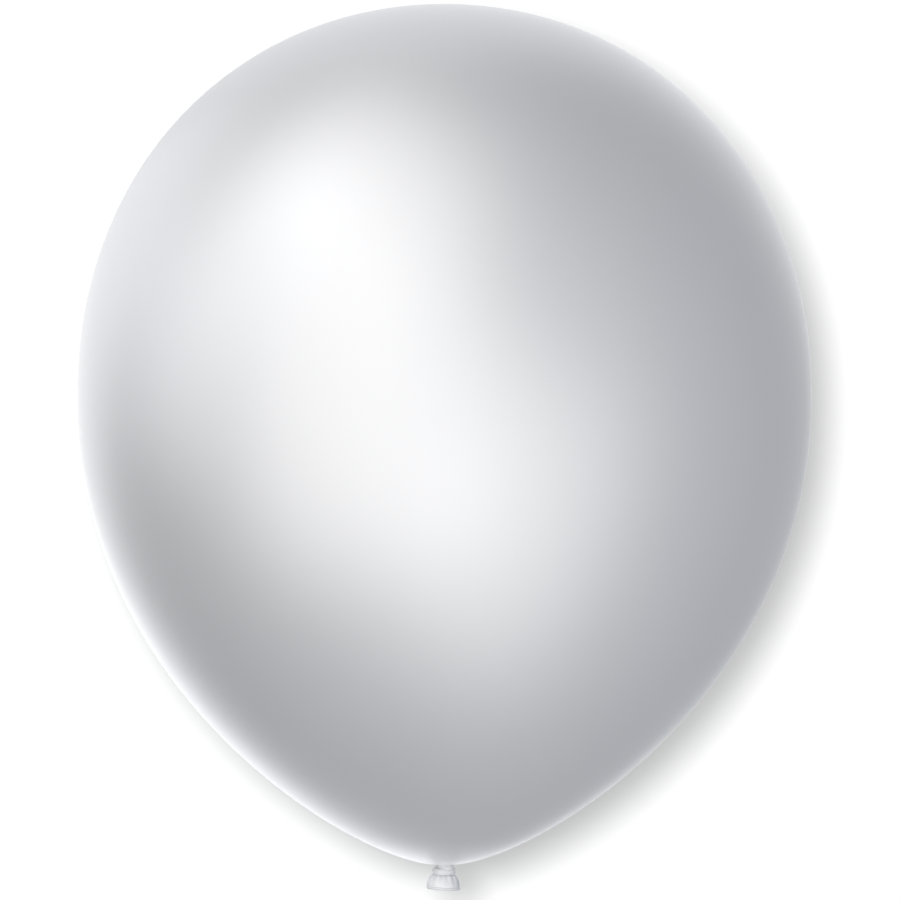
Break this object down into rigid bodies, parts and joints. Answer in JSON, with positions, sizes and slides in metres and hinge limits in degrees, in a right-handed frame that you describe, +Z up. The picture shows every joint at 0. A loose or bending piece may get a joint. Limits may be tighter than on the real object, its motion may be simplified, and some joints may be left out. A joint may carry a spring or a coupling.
{
  "type": "party balloon",
  "caption": "Inflated latex party balloon, round above and tapering below to a gathered neck, an overhand knot and a flared tail with a rolled rim; floats upright, knot down.",
  "frame": {"origin": "centre of the air that the envelope displaces, where the lift acts, 5.6 mm below its widest ring", "axes": "+Z up the balloon's axis from the knot to the crown, +X to the right in the picture, -Y towards its camera"},
  "size_m": [0.28, 0.28, 0.3382],
  "materials": {
    "stretched_latex": "satin pearl silver, stretched smooth",
    "gathered_latex": "matte pearl silver, gathered in folds",
    "tail_latex": "matte pearl silver, slack with fine creases",
    "rolled_rim": "matte pearl silver, rolled bead"
  },
  "bodies": {
    "root": {"envelope": "stretched_latex", "neck": "gathered_latex", "knot": "gathered_latex", "tail": "tail_latex", "rim": "rolled_rim"}
  },
  "joints": []
}
